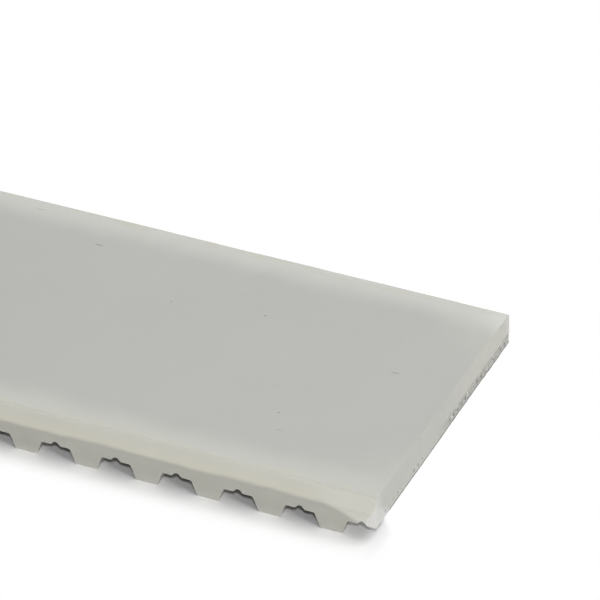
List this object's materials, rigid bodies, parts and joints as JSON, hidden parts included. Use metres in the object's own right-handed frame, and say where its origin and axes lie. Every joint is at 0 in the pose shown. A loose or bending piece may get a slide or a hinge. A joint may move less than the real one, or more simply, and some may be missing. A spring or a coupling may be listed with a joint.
{
  "type": "coated timing belt",
  "caption": "Open-ended timing belt strip with trapezoidal teeth, embedded steel tension cords and a thick soft cover bonded to its back, for gripping and carrying goods.",
  "frame": {"origin": "middle of the strip's length and width, on the plane of the tooth tips", "axes": "+X along the belt towards the end that is cut at a tooth gap, +Y across the belt, +Z from the teeth towards the cover"},
  "size_m": [0.12, 0.05, 0.008],
  "materials": {
    "base_polyurethane": "moulded satin, greyish white",
    "bond_adhesive": "thin cream glue line",
    "cover_polyurethane": "satin, slightly translucent, natural off-white",
    "cord_steel": "stranded steel wire"
  },
  "bodies": {
    "root": {"toothed_belt": "base_polyurethane", "bond_film": "bond_adhesive", "cover": "cover_polyurethane", "tension_cord_01": "cord_steel", "tension_cord_02": "cord_steel", "tension_cord_03": "cord_steel", "tension_cord_04": "cord_steel", "tension_cord_05": "cord_steel", "tension_cord_06": "cord_steel", "tension_cord_07": "cord_steel", "tension_cord_08": "cord_steel", "tension_cord_09": "cord_steel", "tension_cord_10": "cord_steel", "tension_cord_11": "cord_steel", "tension_cord_12": "cord_steel", "tension_cord_13": "cord_steel", "tension_cord_14": "cord_steel", "tension_cord_15": "cord_steel", "tension_cord_16": "cord_steel", "tension_cord_17": "cord_steel", "tension_cord_18": "cord_steel", "tension_cord_19": "cord_steel", "tension_cord_20": "cord_steel", "tension_cord_21": "cord_steel", "tension_cord_22": "cord_steel", "tension_cord_23": "cord_steel", "tension_cord_24": "cord_steel", "tension_cord_25": "cord_steel", "tension_cord_26": "cord_steel", "tension_cord_27": "cord_steel", "tension_cord_28": "cord_steel", "tension_cord_29": "cord_steel", "tension_cord_30": "cord_steel", "tension_cord_31": "cord_steel", "tension_cord_32": "cord_steel"}
  },
  "joints": []
}
